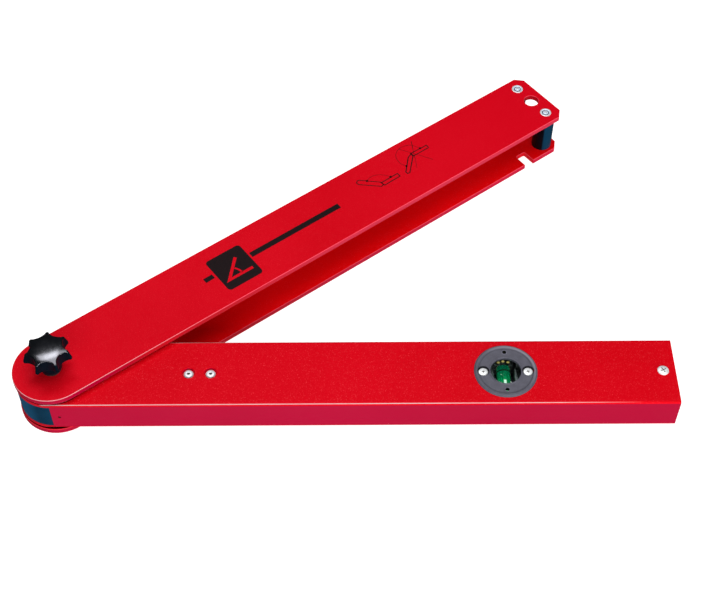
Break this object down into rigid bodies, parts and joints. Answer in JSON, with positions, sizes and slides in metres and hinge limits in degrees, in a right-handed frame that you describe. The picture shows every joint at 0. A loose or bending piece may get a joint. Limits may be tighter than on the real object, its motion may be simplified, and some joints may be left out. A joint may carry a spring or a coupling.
{
  "type": "folding angle bevel",
  "caption": "Folding angle bevel for carpentry: a tube arm with a level vial swings between two flat plates and is clamped by a star knob.",
  "frame": {"origin": "on the pivot axis, at the flat underside of the lower arm plate", "axes": "+X along the inner tube arm, away from the pivot; +Z along the pivot axis, towards the star knob"},
  "size_m": [0.5106, 0.3523, 0.0707],
  "materials": {
    "red_paint": "gloss red paint over aluminium",
    "black_plastic": "satin",
    "carrier_black": "matte",
    "grey_bezel": "satin",
    "zinc_steel": "satin",
    "aluminium_rivet": "satin",
    "friction_fibre": "matte",
    "brass": "satin",
    "clear_acrylic": "polished",
    "green_fluid": "polished",
    "bubble": "polished",
    "black_mark": "matte"
  },
  "bodies": {
    "outer_arm": {"outer_top_plate": "red_paint", "outer_bottom_plate": "red_paint", "end_post_near": "black_plastic", "end_post_far": "black_plastic", "post_rivets_top": "aluminium_rivet", "post_rivets_bottom": "aluminium_rivet", "pivot_bolt": "zinc_steel", "lower_friction_washer": "friction_fibre", "upper_friction_washer": "friction_fibre"},
    "inner_arm": {"inner_arm_tube": "red_paint", "hinge_block": "black_plastic", "pivot_bush": "brass", "block_rivets_top": "aluminium_rivet", "block_rivets_bottom": "aluminium_rivet", "end_plug": "black_plastic", "end_screw": "zinc_steel", "stop_pin": "zinc_steel", "vial_bezel_top": "grey_bezel", "vial_bezel_bottom": "grey_bezel", "bezel_screws_top": "zinc_steel", "bezel_screws_bottom": "zinc_steel", "vial_carrier": "carrier_black", "vial_tube": "clear_acrylic", "vial_end_plugs": "clear_acrylic", "vial_liquid": "green_fluid", "vial_bubble": "bubble", "vial_rings": "black_mark"},
    "knob_washer": {"knob_washer": "zinc_steel"},
    "star_knob": {"star_knob": "black_plastic", "knob_insert": "brass"}
  },
  "joints": [
    {"name": "arm_pivot", "type": "hinge", "parent": "outer_arm", "child": "inner_arm", "pos_m": [0, 0, 0], "axis": [0, 0, 1], "range_deg": [-316, 36.76]},
    {"name": "knob_lift", "type": "slide", "parent": "outer_arm", "child": "knob_washer", "axis": [0, 0, 1], "range_m": [0, 0.00125]},
    {"name": "knob_turn", "type": "hinge", "parent": "knob_washer", "child": "star_knob", "pos_m": [0, 0, 0], "axis": [0, 0, 1], "range_deg": [0, 360.2]}
  ],
  "couplings": [
    {"joint": "knob_turn", "follows": "knob_lift", "rad_per_m": 5026.5}
  ]
}
